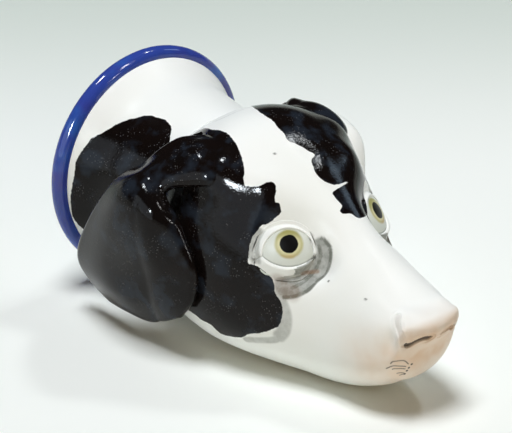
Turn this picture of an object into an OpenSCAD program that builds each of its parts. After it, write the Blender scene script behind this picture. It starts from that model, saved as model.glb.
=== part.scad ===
// Porcelain stirrup cup in the form of a hound's head, lying on its jaw and the edge of its rim.
// X runs from the mouth to the nose, Y to the hound's left and Z up from the surface it lies on.
// The head, the collar, the bead, the ears, the eyeballs and the lids are made one by one,
// and joined with a thin layer of slip before firing.

/* [Rim and collar] */
// Outer diameter of the rolled rim
rim_d = 68; // [64:1:74]
// Width of the half-round bead round the lip
bead_w = 5.4; // [4.4:0.2:6.4]
// Diameter of the neck, where the collar is joined to the head
neck_d = 48; // [45:1:51]
// Distance from the lip's flat end to the neck joint
neck_x = 36; // [33:1:39]
// Thickness of the cast wall
wall = 3.2; // [2.6:0.1:3.8]

/* [Head] */
// Length from the lip's flat end to the tip of the nose
cup_l = 127; // [123:1:132]
// Width of the skull across the ears' roots
skull_w = 60.4; // [57:0.2:64]
// Height of the crown above the surface the cup lies on
skull_h = 66.8; // [64:0.2:70]
// Width of the muzzle at its middle
muzzle_w = 29.6; // [27:0.2:33]
// Height of the muzzle at its middle
muzzle_h = 38.8; // [36:0.2:41]
// Width of the nose
nose_w = 20.8; // [18:0.2:23]
// Height of the nose's upper edge
nose_h = 31.2; // [30:0.1:32.4]
// Solid porcelain between the cavity's end and the tip of the nose
nose_solid = 14; // [11:0.5:18]

/* [Eyes] */
// Diameter of the ball that the eye's dome is part of
eye_d = 29; // [28:0.2:30]
// Distance from the tip of the nose back to the pupil
pupil_back = 42.4; // [41:0.1:44]
// Half the distance between the pupils
pupil_y = 16.2; // [15.8:0.1:16.6]
// Height of the pupil
pupil_z = 42.1; // [41.6:0.1:42.6]
// Width of the opening between the lids, from corner to corner
eye_open_w = 14.4; // [13.4:0.2:15]
// Height of the upper lid's edge above the corners of the eye
lid_arch = 7.1; // [6.4:0.1:7.2]
// Depth of the lower lid's edge below the corners of the eye
lid_sag = 3.2; // [2.6:0.1:3.6]
// How far the corners of the eye are below the pupil
corner_drop = 2.9; // [2.4:0.1:3.2]
// Thickness of the upper lid's roll
upper_lid_t = 0.9; // [0.6:0.1:1.3]
// Thickness of the lower lid's roll
lower_lid_t = 1.3; // [0.8:0.1:1.8]
// How far the lids reach past the eyeball's edge on to the head
lid_reach = 0.9; // [0.7:0.1:1.4]

/* [Ears] */
// Thickness of the ear at its middle
ear_t = 3.6; // [2.8:0.1:4.4]
// How far the ears hang, as an angle on the head below its widest level
ear_drop = 36; // [30:1:40]
// How far the middle of the hanging flap stands off the head
ear_lift = 6; // [5:0.2:8]

/* [Fits] */
// Thickness of the layer of slip between joined pieces
lute = 0.25; // [0.2:0.05:0.35]
// Thickness of the layer of slip under the ears
ear_lute = 0.35; // [0.3:0.05:0.5]
// Thickness of the layer of slip under the eyeballs
eye_lute = 0.45; // [0.4:0.05:0.6]

/* [Hidden] */

porcelain = "#f2f3ee";
cobalt = "#26318c";
black_glaze = "#17171a";
eye_white = "#e6e6d2";

// Height of the rim's axis: the bead touches the surface that the cup lies on.
axis_z = rim_d / 2;
bead_r = bead_w / 2;
lip_r = axis_z - bead_r;

// Cross-sections of the head: distance from the lip's end, half width, top, bottom, level of the
// widest point, and roundness above and below that level, where 2 is an ellipse and more is squarer.
// A bottom below 0 leaves a flat on the jaw, which keeps the cup from rolling.
neck = [neck_x, neck_d / 2, axis_z + neck_d / 2, axis_z - neck_d / 2, axis_z, 2, 2];
occiput = [neck_x + 9, skull_w / 2 - 1.6, skull_h - 3, 3.8, 31.5, 2.1, 2.7];
crown = [neck_x + 21, skull_w / 2, skull_h, 1.6, 29, 2.15, 2.9];
forehead = [cup_l - 58.3, skull_w / 2 - 1.6, skull_h - 2.8, 0.4, 26.5, 2, 2.7];
brow = [cup_l - 48.3, 25, 58.2, -0.4, 24, 1.85, 2.4];
stop = [cup_l - 40.3, 21.4, 51.5, -0.6, 21.5, 1.85, 2.2];
bridge = [cup_l - 31.3, muzzle_w / 2 + 2.8, muzzle_h + 5.8, -0.5, 18.5, 1.95, 2.1];
muzzle = [cup_l - 20.3, muzzle_w / 2, muzzle_h, 3, 17, 2.3, 2.1];
lips = [cup_l - 11.3, muzzle_w / 2 - 1.7, muzzle_h - 4.4, 8.2, 18.5, 2.9, 2.1];
philtrum = [cup_l - 5.8, nose_w / 2 + 0.3, nose_h + 0.7, 13.6, 21.5, 3.5, 2.1];
nose = [cup_l - 3.3, nose_w / 2 - 0.4, nose_h, 21.4, 27.2, 3.6, 2.2];
tip = [cup_l, nose_w / 2 - 2, nose_h - 0.6, 24.6, 28, 3.2, 2.2];
sections = [neck, occiput, crown, forehead, brow, stop, bridge, muzzle, lips, philtrum, nose, tip];

// Length over which the nose rounds off to its tip, and how square that rounding is
nose_round = 4.4;
nose_square = 3;

// Swellings and hollows on both sides of the head: place, amount, reach along the head and across it,
// and how steep their sides are, where 1 is a soft swelling and 2 has a flat floor
pupil_x = cup_l - pupil_back;
brow_ridge = [[pupil_x - 9, 15, 54.5], 2.2, 7, 6, 1];
ear_base = [[neck_x + 26, 21.5, skull_h - 10.8], 2.4, 9, 7, 1];
furrow = [[pupil_x - 12, 0, skull_h - 6], -0.8, 14, 3.5, 1];
socket = [[pupil_x + 2, pupil_y - 1.2, pupil_z - 0.6], -3.8, 10, 9, 2];
tear_hollow = [[pupil_x + 8, 11, 38.3], -1.8, 5, 5, 1];
flew = [[cup_l - 15.3, 13, 15], 0.6, 8, 6, 1];
nose_wing = [[cup_l - 4, nose_w / 2 + 0.4, nose_h - 4.6], 0.8, 1.8, 2.4, 1];
wing_groove = [[cup_l - 7.4, nose_w / 2 + 0.8, nose_h - 6.6], -0.9, 1.6, 3.4, 1];
forms = [brow_ridge, ear_base, furrow, socket, tear_hollow, flew, nose_wing, wing_groove];

// Nostrils, pressed straight into the front of the nose: place across and up, depth, reach across and up
nostril_y = 5.6;
nostril_z = nose_h - 6.6;
nostril_depth = 1.5;
nostril_reach = [3.4, 1.1];

// Fineness of the modelled surfaces
head_rings = 50;
head_sides = 64;
cavity_rings = 16;
ear_rows = 26;
ear_columns = 15;
eye_rings = 7;
eye_sides = 24;
lid_rings = 18;
lid_steps = 5;
search_steps = 16;
collar_steps = 14;
$fn = 128;

// Smooth curve through one column of a list of rows, whose first column is the place along it
function step(rows, i) = rows[i + 1][0] - rows[i][0];
function rise(rows, k, i) = (rows[i + 1][k] - rows[i][k]) / step(rows, i);
function slope(rows, k, i) =
    i == 0 ? rise(rows, k, 0)
    : i == len(rows) - 1 ? rise(rows, k, i - 1)
    : (rise(rows, k, i - 1) * step(rows, i) + rise(rows, k, i) * step(rows, i - 1))
        / (step(rows, i - 1) + step(rows, i));
function interval(rows, x) =
    max(0, min(len(rows) - 2, len([for (row = rows) if (row[0] <= x) 1]) - 1));
function curve(rows, k, x) =
    let (i = interval(rows, x), h = step(rows, i), t = max(0, min(1, (x - rows[i][0]) / h)))
    rows[i][k] * (1 + 2 * t) * pow(1 - t, 2) + slope(rows, k, i) * h * t * pow(1 - t, 2)
        + rows[i + 1][k] * t * t * (3 - 2 * t) + slope(rows, k, i + 1) * h * t * t * (t - 1);

// The head's section at x: half width, top, bottom, level, roundness above and below
function section(x) = [for (k = [1:6]) curve(sections, k, x)];

// Distance of the plain surface from the section's centre, at an angle up from the hound's left
function plain_r(s, x, angle) =
    let (above = sin(angle) >= 0,
         half_h = above ? s[1] - s[3] : s[3] - s[2],
         n = above ? s[4] : s[5],
         end = max(0, min(1, 1 - (cup_l - x) / nose_round)))
    pow(pow(abs(cos(angle)) / s[0], n) + pow(abs(sin(angle)) / half_h, n), -1 / n)
        * sqrt(1 - pow(end, nose_square));
function swell(p, form) =
    let (d = [p[0] - form[0][0], abs(p[1]) - form[0][1], p[2] - form[0][2]])
    form[1] * exp(-pow(pow(d[0] / form[2], 2) + (d[1] * d[1] + d[2] * d[2]) / pow(form[3], 2), form[4]));
function sum(list) = [for (v = list) 1] * list;
function at(x, level, r, angle) = [x, r * cos(angle), level + r * sin(angle)];
function skin_r(s, x, angle) =
    let (r = plain_r(s, x, angle), p = at(x, s[3], r, angle))
    r + sum([for (form = forms) swell(p, form)]);
function on_floor(p) = [p[0], p[1], max(p[2], 0)];
function pressed(p) =
    let (across = (abs(p[1]) - nostril_y) / nostril_reach[0], up = (p[2] - nostril_z) / nostril_reach[1])
    p[0] < cup_l - nose_round ? p : p - [nostril_depth * exp(-across * across - up * up), 0, 0];

// How far a point is outside the head, measured across the head, and the point moved out to a clearance
function outside(p) =
    let (s = section(p[0]), d = [p[1], p[2] - s[3]])
    norm(d) - skin_r(s, p[0], atan2(d[1], d[0]));
function clear_of_head(p, gap) =
    let (s = section(p[0]), d = [p[1], p[2] - s[3]], a = atan2(d[1], d[0]), r = skin_r(s, p[0], a) + gap)
    norm(d) >= r ? p : at(p[0], s[3], r, a);

// Faces of a net of points: rows of equal length, closed round or open, seen from one side
function net_faces(rows, columns, first, closed, flip) =
    [for (i = [0:rows - 2], j = [0:columns - (closed ? 1 : 2)])
        let (a = first + i * columns + j,
             b = first + i * columns + (j + 1) % columns,
             c = b + columns,
             d = a + columns)
        each flip ? [[a, c, b], [a, d, c]] : [[a, b, c], [a, c, d]]];
function fan(apex, first, columns, flip) =
    [for (j = [0:columns - 1])
        let (a = first + j, b = first + (j + 1) % columns)
        flip ? [apex, b, a] : [apex, a, b]];
function flat(list) = [for (row = list) each row];

// The hollow head: a loft through the sections, with a cavity one wall inside it, open at the neck
module head_shell() {
    sides = [for (j = [0:head_sides - 1]) 360 * j / head_sides];
    outer_x = [for (i = [0:head_rings - 1]) neck_x + (cup_l - neck_x) * sin(90 * i / head_rings)];
    outer = [for (x = outer_x)
        let (s = section(x))
        [for (a = sides) pressed(on_floor(at(x, s[3], skin_r(s, x, a), a)))]];
    end_x = cup_l - nose_solid;
    inner_x = [for (i = [0:cavity_rings - 1]) neck_x + (end_x - neck_x) * sin(90 * i / cavity_rings)];
    inner = [for (x = inner_x)
        let (s = section(x), close = sqrt(1 - pow((x - neck_x) / (end_x - neck_x), 6)))
        [for (a = sides) at(x, s[3], (skin_r(s, x, a) - wall) * close, a)]];
    tip_level = section(cup_l)[3];
    end_level = section(end_x)[3];
    points = concat(flat(outer), flat(inner), [[cup_l, 0, tip_level], [end_x, 0, end_level]]);
    count = head_rings * head_sides;
    inner_count = cavity_rings * head_sides;
    mouth = [for (j = [0:head_sides - 1])
        let (k = (j + 1) % head_sides)
        each [[j, count + k, count + j], [j, k, count + k]]];
    faces = concat(
        net_faces(head_rings, head_sides, 0, true, true),
        fan(count + inner_count, count - head_sides, head_sides, true),
        net_faces(cavity_rings, head_sides, count, true, false),
        fan(count + inner_count + 1, count + inner_count - head_sides, head_sides, false),
        mouth);
    color(porcelain) polyhedron(points, faces);
}

// Turns a profile of radius and distance about the rim's axis
module turned() {
    translate([0, 0, axis_z]) rotate([0, 90, 0]) rotate_extrude() children();
}

// The flared collar: a straight lip under the bead, then a hollow flare down to the neck joint
module neck_collar() {
    flare = [[bead_w, lip_r - lute], [neck_x * 0.33, lip_r - lute - 3.4],
             [neck_x * 0.6, neck_d / 2 + 2], [neck_x - lute, neck_d / 2]];
    outline = [for (i = [0:collar_steps])
        let (x = bead_w + (neck_x - lute - bead_w) * i / collar_steps)
        [curve(flare, 1, x), x]];
    lining = [for (i = [collar_steps:-1:0]) outline[i] - [wall, 0]];
    color(porcelain)
        turned() polygon(concat([[lip_r - lute, 0]], outline, lining, [[lip_r - lute - wall, 0]]));
}

// The rolled rim: a half-round bead round the lip
module rim_bead() {
    color(cobalt)
        turned() intersection() {
            translate([lip_r, bead_r]) circle(r = bead_r);
            translate([lip_r, 0]) square([bead_w, bead_w]);
        }
}

// Ears: nets from the root to the tip and from the front edge to the back edge.
// Each point has its distance along the cup, its angle on the head and how far it stands off the head.
// Behind the crown the ears are measured from the crown's section, because they hang clear of the neck.
ear_x = neck_x + 12;
ear_net = [
    [[18, 50, 0.5], [16.5, 57, 0.8], [9, 63, 1], [-2, 64.5, 1]],
    [[9.5, 41.5, 1.8], [7, 45, 3.2], [0, 47, 3.8], [-8.5, 48, 2]],
    [[2, 30.5, 4.5], [0.5, 32.5, ear_lift + 0.3], [-4.5, 35, ear_lift + 0.6], [-12.5, 35.5, 2.2]],
    [[9.6, 20.5, 1.8], [4, 21, ear_lift + 3.4], [-6.5, 22.2, ear_lift + 4.6], [-18, 22.6, ear_lift + 0.2]],
    [[15.6, 5.5, 1.6], [1, -8.5, ear_lift - 0.2], [-15.5, -10, ear_lift + 1.6], [-33, -16.5, ear_lift - 0.6]],
    [[14.8, 24.5 - ear_drop, 1.6], [-1, 10 - ear_drop, ear_lift - 0.4],
     [-15, 10.5 - ear_drop, ear_lift + 1.6], [-32, 5.5 - ear_drop, ear_lift - 0.4]],
    [[9.8, 11.5 - ear_drop, 2.8], [-3, -1.5 - ear_drop, ear_lift + 0.2],
     [-12.5, -2 - ear_drop, ear_lift + 1.2], [-22, -2.5 - ear_drop, ear_lift + 1.4]],
];
// Least thickness of the ear at its edges, and the width over which the edges round off
ear_edge = 0.9;
ear_edge_w = 2.4;

// One coordinate of the net, smoothed across each row and then down the rows
function row_at(row, k, u) = curve([for (j = [0:len(row) - 1]) [j, row[j][k]]], 1, u * (len(row) - 1));
function net_at(net, k, u, v) =
    curve([for (i = [0:len(net) - 1]) [i, row_at(net[i], k, u)]], 1, v * (len(net) - 1));
function ear_point(u, v) =
    let (x = ear_x + net_at(ear_net, 0, u, v),
         angle = net_at(ear_net, 1, u, v),
         from = max(x, ear_x),
         s = section(from))
    at(x, s[3], plain_r(s, from, angle) + net_at(ear_net, 2, u, v), angle);
function unit(v) = v / norm(v);

module ear(side) {
    us = [for (j = [0:ear_columns - 1]) (1 - cos(180 * j / (ear_columns - 1))) / 2];
    vs = [for (i = [0:ear_rows - 1]) sin(90 * i / (ear_rows - 1))];
    middle = [for (v = vs) [for (u = us) ear_point(u, v)]];
    last_row = ear_rows - 1;
    last_column = ear_columns - 1;
    normals = [for (i = [0:last_row]) [for (j = [0:last_column])
        unit(cross(middle[min(i + 1, last_row)][j] - middle[max(i - 1, 0)][j],
                   middle[i][min(j + 1, last_column)] - middle[i][max(j - 1, 0)]))]];
    half_t = [for (i = [0:last_row]) [for (j = [0:last_column])
        let (edge = min(norm(middle[i][j] - middle[i][0]), norm(middle[i][j] - middle[i][last_column]),
                        norm(middle[i][j] - middle[last_row][j])),
             inset = 1 - min(1, edge / ear_edge_w))
        max(ear_edge, ear_t * sqrt(1 - inset * inset)) / 2]];
    outer = [for (i = [0:last_row]) [for (j = [0:last_column])
        clear_of_head(middle[i][j] + normals[i][j] * half_t[i][j], ear_lute + ear_edge)]];
    inner = [for (i = [0:last_row]) [for (j = [0:last_column])
        clear_of_head(middle[i][j] - normals[i][j] * half_t[i][j], ear_lute)]];
    count = ear_rows * ear_columns;
    edge = concat([for (j = [0:last_column]) j],
                  [for (i = [1:last_row]) i * ear_columns + last_column],
                  [for (j = [1:last_column]) last_row * ear_columns + last_column - j],
                  [for (i = [1:last_row - 1]) (last_row - i) * ear_columns]);
    rim = [for (k = [0:len(edge) - 1])
        let (a = edge[k], b = edge[(k + 1) % len(edge)])
        each [[a, count + b, b], [a, count + a, count + b]]];
    faces = concat(net_faces(ear_rows, ear_columns, 0, false, false),
                   net_faces(ear_rows, ear_columns, count, false, true),
                   rim);
    color(black_glaze) mirror([0, side < 0 ? 1 : 0, 0])
        polyhedron(concat(flat(outer), flat(inner)), faces);
}

// Eyes: a pellet in the socket, with its dome outside the head and its back on the socket's surface.
// Directions about the eye's axis start at the inner corner and go round by the brow.
eye_r = eye_d / 2;
eye_axis = unit([0.66, 0.5, 0.56]);
eye_c = [pupil_x, pupil_y, pupil_z] - eye_axis * eye_r;
eye_side = unit(cross(eye_axis, [0, 0, 1]));
eye_up = cross(eye_side, eye_axis);
function eye_dir(tilt, turn) =
    eye_axis * cos(tilt) + (eye_side * cos(turn) + eye_up * sin(turn)) * sin(tilt);
function eye_at(tilt, turn, r) = eye_c + eye_dir(tilt, turn) * r;

// The tilt at which the ball dips under the head, and the distance from the ball's centre to the head
function eye_edge(turn, low = 0, high = 90, n = search_steps) =
    let (mid = (low + high) / 2)
    n == 0 ? mid
    : outside(eye_at(mid, turn, eye_r)) > eye_lute ? eye_edge(turn, mid, high, n - 1)
    : eye_edge(turn, low, mid, n - 1);
function socket_r(tilt, turn, gap, low = 0, high = eye_d, n = search_steps) =
    let (mid = (low + high) / 2)
    n == 0 ? mid
    : outside(eye_at(tilt, turn, mid)) > gap ? socket_r(tilt, turn, gap, low, mid, n - 1)
    : socket_r(tilt, turn, gap, mid, high, n - 1);

module eyeball(side) {
    turns = [for (j = [0:eye_sides - 1]) 360 * j / eye_sides];
    edges = [for (t = turns) eye_edge(t)];
    dome = [for (i = [1:eye_rings]) [for (j = [0:eye_sides - 1])
        eye_at(edges[j] * i / eye_rings, turns[j], eye_r)]];
    back = [for (i = [1:eye_rings - 1]) [for (j = [0:eye_sides - 1])
        let (tilt = edges[j] * i / eye_rings)
        eye_at(tilt, turns[j], socket_r(tilt, turns[j], eye_lute))]];
    dome_count = eye_rings * eye_sides;
    back_count = (eye_rings - 1) * eye_sides;
    points = concat(flat(dome), flat(back), [eye_at(0, 0, eye_r), eye_at(0, 0, socket_r(0, 0, eye_lute))]);
    seam = [for (j = [0:eye_sides - 1])
        let (k = (j + 1) % eye_sides, a = dome_count - eye_sides, b = dome_count + back_count - eye_sides)
        each [[b + j, b + k, a + k], [b + j, a + k, a + j]]];
    faces = concat(
        fan(dome_count + back_count, 0, eye_sides, false),
        net_faces(eye_rings, eye_sides, 0, true, true),
        fan(dome_count + back_count + 1, dome_count, eye_sides, true),
        net_faces(eye_rings - 1, eye_sides, dome_count, true, false),
        seam);
    color(eye_white) mirror([0, side < 0 ? 1 : 0, 0]) polyhedron(points, faces);
}

// Lids: rolls from the edge of the eye's opening to a little past the ball's edge.
// The opening is bounded by two arcs that meet at the corners, where the lids leave a small gap.
lid_gap = 2;
lid_edge_t = 0.35;
corner_turn = atan2(corner_drop, eye_open_w / 2);
function arc_r(rise) = (pow(eye_open_w / 2, 2) + rise * rise) / (2 * rise);
function arc_reach(turn, r, height) = height * sin(turn) + sqrt(r * r - pow(height * cos(turn), 2));
function opening(turn) =
    let (arch_r = arc_r(lid_arch), sag_r = arc_r(lid_sag))
    asin(min(arc_reach(turn, arch_r, lid_arch - arch_r - corner_drop),
             arc_reach(turn, sag_r, sag_r - lid_sag - corner_drop)) / eye_r);
function lid_bed(tilt, turn) = max(eye_r + lute, socket_r(tilt, turn, lute));

module lid(side, first, last, lid_t) {
    span = last - first - 2 * lid_gap;
    past = lid_reach / eye_r * 180 / PI;
    rings = [for (i = [0:lid_rings])
        let (turn = first + lid_gap + span * i / lid_rings,
             far = eye_edge(turn) + past,
             near = min(opening(turn), far - past),
             fullness = lid_edge_t + (lid_t - lid_edge_t) * sqrt(sin(180 * i / lid_rings)),
             tilts = [for (j = [0:lid_steps]) near + (far - near) * j / lid_steps],
             beds = [for (tilt = tilts) lid_bed(tilt, turn)])
        concat(
            [for (j = [0:lid_steps])
                let (roll = max(lid_edge_t, fullness * sqrt(sin(180 * j / lid_steps))))
                eye_at(tilts[j], turn, beds[j] + roll)],
            [for (j = [lid_steps:-1:0]) eye_at(tilts[j], turn, beds[j])])];
    sides = 2 * (lid_steps + 1);
    count = (lid_rings + 1) * sides;
    faces = concat(
        net_faces(lid_rings + 1, sides, 0, true, false),
        [[for (j = [sides - 1:-1:0]) j]],
        [[for (j = [0:sides - 1]) count - sides + j]]);
    color(porcelain) mirror([0, side < 0 ? 1 : 0, 0]) polyhedron(flat(rings), faces);
}

module upper_lid(side) {
    lid(side, -corner_turn, 180 + corner_turn, upper_lid_t);
}

module lower_lid(side) {
    lid(side, 180 + corner_turn, 360 - corner_turn, lower_lid_t);
}

// The origin is on the surface the cup lies on, under the middle of its length.
module placed() {
    translate([-cup_l / 2, 0, 0]) children();
}

placed() head_shell();
placed() neck_collar();
placed() rim_bead();
placed() ear(-1);  // right_ear
placed() ear(1);  // left_ear
placed() eyeball(-1);  // right_eyeball
placed() eyeball(1);  // left_eyeball
placed() upper_lid(-1);  // right_upper_lid
placed() upper_lid(1);  // left_upper_lid
placed() lower_lid(-1);  // right_lower_lid
placed() lower_lid(1);  // left_lower_lid
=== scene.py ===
# Porcelain stirrup cup in the form of a hound's head: glazed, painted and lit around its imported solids.
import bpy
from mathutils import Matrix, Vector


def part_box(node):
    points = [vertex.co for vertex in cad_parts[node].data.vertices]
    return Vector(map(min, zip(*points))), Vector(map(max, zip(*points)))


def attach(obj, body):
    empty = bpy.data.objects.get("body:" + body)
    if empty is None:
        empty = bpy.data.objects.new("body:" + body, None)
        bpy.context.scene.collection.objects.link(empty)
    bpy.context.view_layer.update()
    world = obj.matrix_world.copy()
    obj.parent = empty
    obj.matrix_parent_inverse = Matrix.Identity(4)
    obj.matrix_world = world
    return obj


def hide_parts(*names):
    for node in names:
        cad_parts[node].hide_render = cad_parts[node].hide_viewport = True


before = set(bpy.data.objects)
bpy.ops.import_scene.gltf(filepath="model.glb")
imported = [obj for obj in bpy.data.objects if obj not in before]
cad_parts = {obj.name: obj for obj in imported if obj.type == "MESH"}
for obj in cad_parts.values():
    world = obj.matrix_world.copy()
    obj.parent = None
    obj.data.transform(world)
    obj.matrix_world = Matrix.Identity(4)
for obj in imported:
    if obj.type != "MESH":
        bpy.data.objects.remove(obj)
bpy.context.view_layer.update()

import math

import bpy
import numpy as np
from mathutils import Vector

# Pieces are worked out in millimetres: X from the lip's flat end to the nose, Y to the hound's left, Z up.
# The stage is in metres of the frame.
MM = 0.001


def node_box(name):
    """Lowest and highest corner of a solid, in millimetres of the frame."""
    low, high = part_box(name)
    return np.array(low) / MM, np.array(high) / MM


# Sizes that the solids give
bead_low, bead_high = node_box("rim_bead")
head_low, head_high = node_box("head_shell")
LIP_X = bead_low[0]
CUP_L = head_high[0] - LIP_X
NECK_X = head_low[0] - LIP_X
RIM_D = bead_high[2] - bead_low[2]
BEAD_W = bead_high[0] - bead_low[0]
AXIS_Z = RIM_D / 2
BEAD_R = BEAD_W / 2
LIP_R = AXIS_Z - BEAD_R

# Sizes of the head, as in the solids
NECK_D = 48.0
SKULL_W = 60.4
SKULL_H = 66.8
MUZZLE_W = 29.6
MUZZLE_H = 38.8
NOSE_W = 20.8
NOSE_H = 31.2
NOSE_SOLID = 14.0
NOSE_ROUND = 4.4
NOSE_SQUARE = 3.0
WALL = 3.2

# Gap between the pieces, which slip fills on the real cup
SLIP = 0.25

# Cross-sections: place, half width, top, bottom, level of the widest point, roundness above and below it
SECTIONS = [
    (NECK_X, NECK_D / 2, AXIS_Z + NECK_D / 2, AXIS_Z - NECK_D / 2, AXIS_Z, 2, 2),
    (NECK_X + 9, SKULL_W / 2 - 1.6, SKULL_H - 3, 3.8, 31.5, 2.1, 2.7),
    (NECK_X + 21, SKULL_W / 2, SKULL_H, 1.6, 29, 2.15, 2.9),
    (CUP_L - 58.3, SKULL_W / 2 - 1.6, SKULL_H - 2.8, 0.4, 26.5, 2, 2.7),
    (CUP_L - 48.3, 25, 58.2, -0.4, 24, 1.85, 2.4),
    (CUP_L - 40.3, 21.4, 51.5, -0.6, 21.5, 1.85, 2.2),
    (CUP_L - 31.3, MUZZLE_W / 2 + 2.8, MUZZLE_H + 5.8, -0.5, 18.5, 1.95, 2.1),
    (CUP_L - 20.3, MUZZLE_W / 2, MUZZLE_H, 3, 17, 2.3, 2.1),
    (CUP_L - 11.3, MUZZLE_W / 2 - 1.7, MUZZLE_H - 4.4, 8.2, 18.5, 2.9, 2.1),
    (CUP_L - 5.8, NOSE_W / 2 + 0.3, NOSE_H + 0.7, 13.6, 21.5, 3.5, 2.1),
    (CUP_L - 3.3, NOSE_W / 2 - 0.4, NOSE_H, 21.4, 27.2, 3.6, 2.2),
    (CUP_L, NOSE_W / 2 - 2, NOSE_H - 0.6, 24.6, 28, 3.2, 2.2),
]

# The eye: pupil's place, ball's radius and axis, and the opening between the lids
PUPIL = np.array([CUP_L - 42.4, 16.2, 42.1])
EYE_R = 14.5
EYE_AXIS = np.array([0.66, 0.5, 0.56])
EYE_OPEN_W = 14.4
LID_ARCH = 7.1
LID_SAG = 3.2
CORNER_DROP = 2.9
PUPIL_R = 2.5
IRIS_R = 3.95

# Swellings and hollows on both sides: place, amount, reach along the head and across it, steepness
FORMS = {
    "brow ridge": ((PUPIL[0] - 9, 15, 54.5), 2.2, 7, 6, 1),
    "ear base": ((NECK_X + 26, 21.5, SKULL_H - 10.8), 2.4, 9, 7, 1),
    "furrow": ((PUPIL[0] - 12, 0, SKULL_H - 6), -0.8, 14, 3.5, 1),
    "socket": ((PUPIL[0] + 2, PUPIL[1] - 1.2, PUPIL[2] - 0.6), -3.8, 10, 9, 2),
    "tear hollow": ((PUPIL[0] + 8, 11, 38.3), -1.8, 5, 5, 1),
    "flew": ((CUP_L - 15.3, 13, 15), 0.6, 8, 6, 1),
    "nose wing": ((CUP_L - 4, NOSE_W / 2 + 0.4, NOSE_H - 4.6), 0.8, 1.8, 2.4, 1),
    "wing groove": ((CUP_L - 7.4, NOSE_W / 2 + 0.8, NOSE_H - 6.6), -0.9, 1.6, 3.4, 1),
    "nose pad": ((CUP_L - 6.4, NOSE_W / 2 - 3.1, NOSE_H - 0.3), 0.9, 2.2, 3.4, 1),
}


# Curves and surfaces

def smooth(rows, place):
    """Values of the smooth curve through rows, whose first column is the place along it."""
    rows = np.asarray(rows, float)
    knots, values = rows[:, 0], rows[:, 1:]
    step = np.diff(knots)
    rise = np.diff(values, axis=0) / step[:, None]
    inner = (rise[:-1] * step[1:, None] + rise[1:] * step[:-1, None]) / (step[:-1] + step[1:])[:, None]
    slope = np.concatenate([rise[:1], inner, rise[-1:]])
    place = np.asarray(place, float)
    i = np.clip(np.searchsorted(knots, place, side="right") - 1, 0, len(knots) - 2)
    t = np.clip((place - knots[i]) / step[i], 0, 1)[..., None]
    h = step[i][..., None]
    start = values[i] * (1 + 2 * t) * (1 - t) ** 2 + slope[i] * h * t * (1 - t) ** 2
    end = values[i + 1] * t * t * (3 - 2 * t) + slope[i + 1] * h * t * t * (t - 1)
    return start + end


def ease(low, high, value):
    """0 below low, 1 above high and smooth between."""
    t = np.clip((value - low) / (high - low), 0, 1)
    return t * t * (3 - 2 * t)


def unit(vectors):
    return vectors / np.maximum(np.linalg.norm(vectors, axis=-1, keepdims=True), 1e-12)


def plain_radius(section, x, angle):
    """Distance of the plain surface from the section's centre, at an angle up from the hound's left."""
    half_w, top, bottom, level, n_up, n_down = np.moveaxis(section, -1, 0)
    above = np.sin(angle) >= 0
    half_h = np.where(above, top - level, level - bottom)
    n = np.where(above, n_up, n_down)
    end = np.clip(1 - (CUP_L - x) / NOSE_ROUND, 0, 1)
    body = (np.abs(np.cos(angle)) / half_w) ** n + (np.abs(np.sin(angle)) / half_h) ** n
    return body ** (-1 / n) * np.sqrt(1 - end ** NOSE_SQUARE)


def skin_radius(x, angle):
    """Distance of the head's surface from the section's centre, and the height of that centre."""
    section = smooth(SECTIONS, x)
    level = section[..., 3]
    plain = plain_radius(section, x, angle)
    y = np.abs(plain * np.cos(angle))
    z = level + plain * np.sin(angle)
    radius = plain.copy()
    for (fx, fy, fz), amount, reach_x, reach_across, steepness in FORMS.values():
        far = ((x - fx) / reach_x) ** 2 + ((y - fy) ** 2 + (z - fz) ** 2) / reach_across ** 2
        radius = radius + amount * np.exp(-far ** steepness)
    return radius, level


def around(x, level, radius, angle):
    """Points at a radius and an angle about a line at a level."""
    x, level, radius, angle = np.broadcast_arrays(x, level, radius, angle)
    return np.stack([x, radius * np.cos(angle), level + radius * np.sin(angle)], -1)


def on_head(places):
    """Points of the head's surface at places given as distance along the cup and angle in degrees."""
    x, degrees = np.asarray(places, float).T
    angle = np.radians(degrees)
    radius, level = skin_radius(x, angle)
    return around(x, level, radius, angle)


def collar_radius(x):
    """Outer radius of the flared collar."""
    flare = [(BEAD_W, LIP_R - SLIP), (NECK_X * 0.33, LIP_R - 3.65),
             (NECK_X * 0.6, NECK_D / 2 + 2), (NECK_X - SLIP, NECK_D / 2)]
    return smooth(flare, x)[..., 0]


def on_collar(places):
    """Points of the collar's surface at places given in the same way."""
    x, degrees = np.asarray(places, float).T
    return around(x, AXIS_Z, collar_radius(x), np.radians(degrees))


def above_head(points):
    """How far points are outside the head, measured across it."""
    x = points[..., 0]
    level = smooth(SECTIONS, x)[..., 3]
    angle = np.arctan2(points[..., 2] - level, points[..., 1])
    radius, level = skin_radius(x, angle)
    return np.hypot(points[..., 1], points[..., 2] - level) - radius


def uneven(points, amount):
    """Slow unevenness of a hand-finished surface, from 0 down to minus twice the amount."""
    x, y, z = np.moveaxis(points, -1, 0)
    wave = np.sin(x / 4.7 + np.sin(y / 6.1)) * np.sin(y / 5.3 + 1.3) + np.sin(z / 5.9 + x / 8.3 + 0.7)
    return amount * (wave / 2 - 1)


# Paths for paint and creases

PATH_STEPS = 6


def curve_through(points, closed=False):
    """A smooth path through points, as a longer list of points."""
    points = np.asarray(points, float)
    count = len(points)
    order = np.arange(-1, count + 2) % count if closed else np.clip(np.arange(-1, count + 1), 0, count - 1)
    p = points[order]
    t = (np.arange(PATH_STEPS) / PATH_STEPS)[:, None]
    pieces = []
    for a, b, c, d in zip(p[:-3], p[1:-2], p[2:-1], p[3:]):
        pieces.append(0.5 * (2 * b + (c - a) * t + (2 * a - 5 * b + 4 * c - d) * t ** 2
                             + (3 * b - a - 3 * c + d) * t ** 3))
    pieces.append(p[-2][None])
    return np.concatenate(pieces)


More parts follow.
